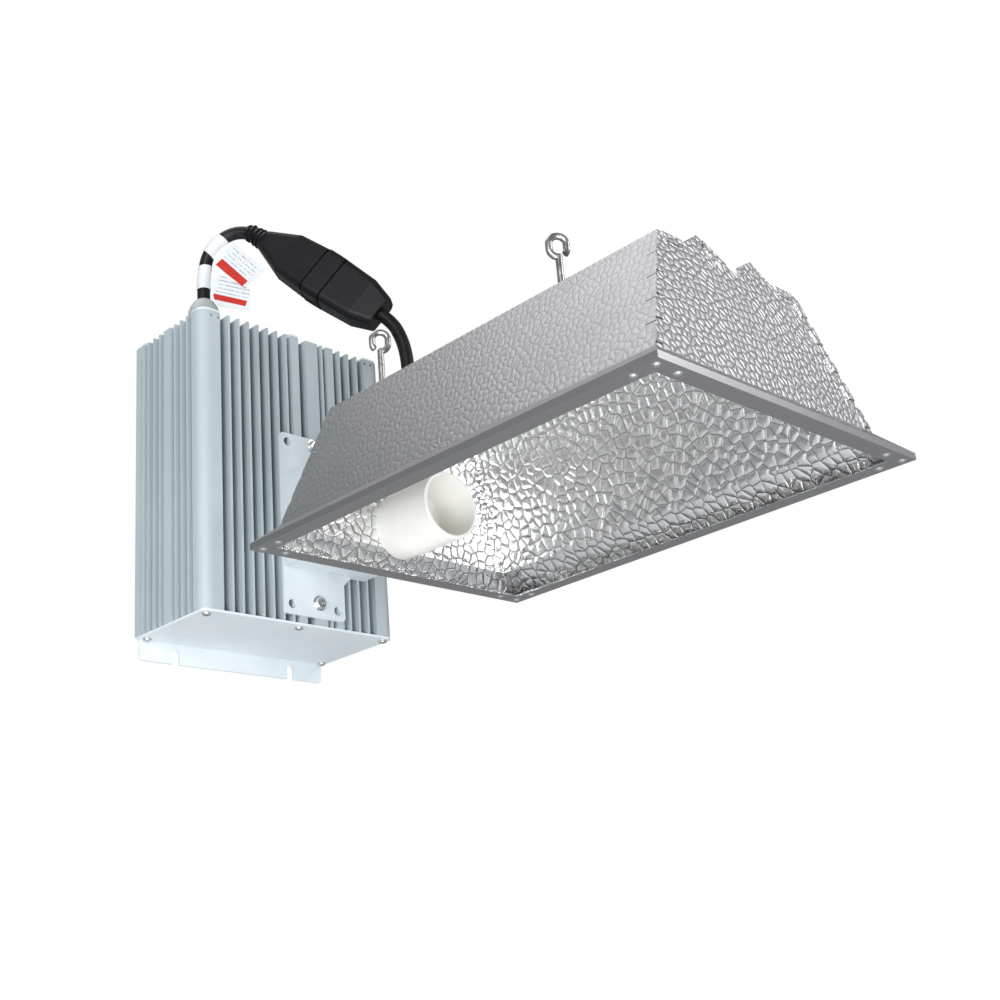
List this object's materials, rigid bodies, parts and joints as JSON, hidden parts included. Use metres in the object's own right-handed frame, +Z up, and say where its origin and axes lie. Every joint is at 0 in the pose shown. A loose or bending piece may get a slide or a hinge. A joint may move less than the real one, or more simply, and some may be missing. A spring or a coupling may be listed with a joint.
{
  "type": "horticultural lamp fixture",
  "caption": "Wall or ceiling grow lamp: finned upright ballast, hat bracket, hammered aluminium hood open below, ceramic lamp socket, hanging eyes and a plug-in lead.",
  "frame": {"origin": "on the wall plane, in the middle of the ballast's width and height", "axes": "+X away from the wall along the hood, +Y across the hood, +Z up"},
  "size_m": [0.596, 0.28, 0.3853],
  "materials": {
    "ballast_paint": "fine satin powder coat, pale blue-grey",
    "plate_paint": "satin powder coat, lighter blue-grey",
    "bracket_paint": "satin powder coat, pale grey",
    "hood_aluminium": "hammered, bright inside and satin outside",
    "rivet_aluminium": "plain blind rivets",
    "zinc": "bright zinc plate",
    "eye_steel": "bright plated bent wire",
    "socket_ceramic": "cream-white, half matt",
    "cord_rubber": "smooth black jacket",
    "black_moulding": "moulded black, half gloss",
    "wire_insulation": "white heat-proof sleeve",
    "label_film": "white film with a red band",
    "gland_plastic": "light grey nylon",
    "inlet_plastic": "black",
    "brass_parts": "bright",
    "board": "circuit board",
    "windings": "varnished windings and cores",
    "capacitor_cans": "sleeved cans"
  },
  "bodies": {
    "lamp": {"ballast_housing": "ballast_paint", "ballast_bottom_plate": "plate_paint", "ballast_top_plate": "plate_paint", "bottom_plate_screws": "zinc", "top_plate_screws": "zinc", "mains_inlet": "inlet_plastic", "inlet_pins": "brass_parts", "inlet_screws": "zinc", "cable_gland": "gland_plastic", "gland_locknut": "gland_plastic", "ballast_board": "board", "board_standoffs": "brass_parts", "ballast_choke": "windings", "ballast_transformer": "windings", "ballast_capacitors": "capacitor_cans", "ballast_lead": "cord_rubber", "lead_relief_upper": "black_moulding", "connector_receptacle": "black_moulding", "connector_plug": "black_moulding", "connector_pins": "brass_parts", "hood_lead": "cord_rubber", "lead_grommet": "black_moulding", "lamp_wires": "wire_insulation", "label_lower": "label_film", "label_upper": "label_film", "mounting_bracket": "bracket_paint", "flange_screws": "zinc", "hood_bolts": "zinc", "hood_nuts": "zinc", "hood_body": "hood_aluminium", "hood_end_ballast_side": "hood_aluminium", "hood_end_far_side": "hood_aluminium", "corner_gussets": "hood_aluminium", "rim_rivets": "rivet_aluminium", "socket_spacer": "zinc", "socket_base": "socket_ceramic", "socket_shell": "socket_ceramic", "socket_contacts": "brass_parts", "socket_screws": "zinc", "eye_nuts": "zinc", "eye_washers": "zinc"},
    "connector_latch_upper": {"connector_latch_upper": "black_moulding"},
    "connector_latch_lower": {"connector_latch_lower": "black_moulding"},
    "eye_bolt_near_left": {"eye_bolt_near_left": "eye_steel"},
    "eye_bolt_near_right": {"eye_bolt_near_right": "eye_steel"},
    "eye_bolt_far_left": {"eye_bolt_far_left": "eye_steel"},
    "eye_bolt_far_right": {"eye_bolt_far_right": "eye_steel"}
  },
  "joints": [
    {"name": "eye_near_left_swivel", "type": "hinge", "parent": "lamp", "child": "eye_bolt_near_left", "pos_m": [0.272, -0.04675, 0.00275], "axis": [0, 0, 1], "continuous": true},
    {"name": "eye_near_right_swivel", "type": "hinge", "parent": "lamp", "child": "eye_bolt_near_right", "pos_m": [0.464, -0.04675, 0.00275], "axis": [0, 0, 1], "continuous": true},
    {"name": "eye_far_left_swivel", "type": "hinge", "parent": "lamp", "child": "eye_bolt_far_left", "pos_m": [0.272, 0.07625, 0.00275], "axis": [0, 0, 1], "continuous": true},
    {"name": "eye_far_right_swivel", "type": "hinge", "parent": "lamp", "child": "eye_bolt_far_right", "pos_m": [0.464, 0.07625, 0.00275], "axis": [0, 0, 1], "continuous": true},
    {"name": "latch_upper_press", "type": "hinge", "parent": "lamp", "child": "connector_latch_upper", "pos_m": [0.16891, 0.00807, 0.17948], "axis": [-0.6393, 0.769, 0], "range_deg": [0, 6], "stiffness_Nm_per_rad": 0.02, "springref_deg": -8.59},
    {"name": "latch_lower_press", "type": "hinge", "parent": "lamp", "child": "connector_latch_lower", "pos_m": [0.14825, -0.00911, 0.14824], "axis": [0.6393, -0.769, 0], "range_deg": [0, 6], "stiffness_Nm_per_rad": 0.02, "springref_deg": -8.59}
  ]
}
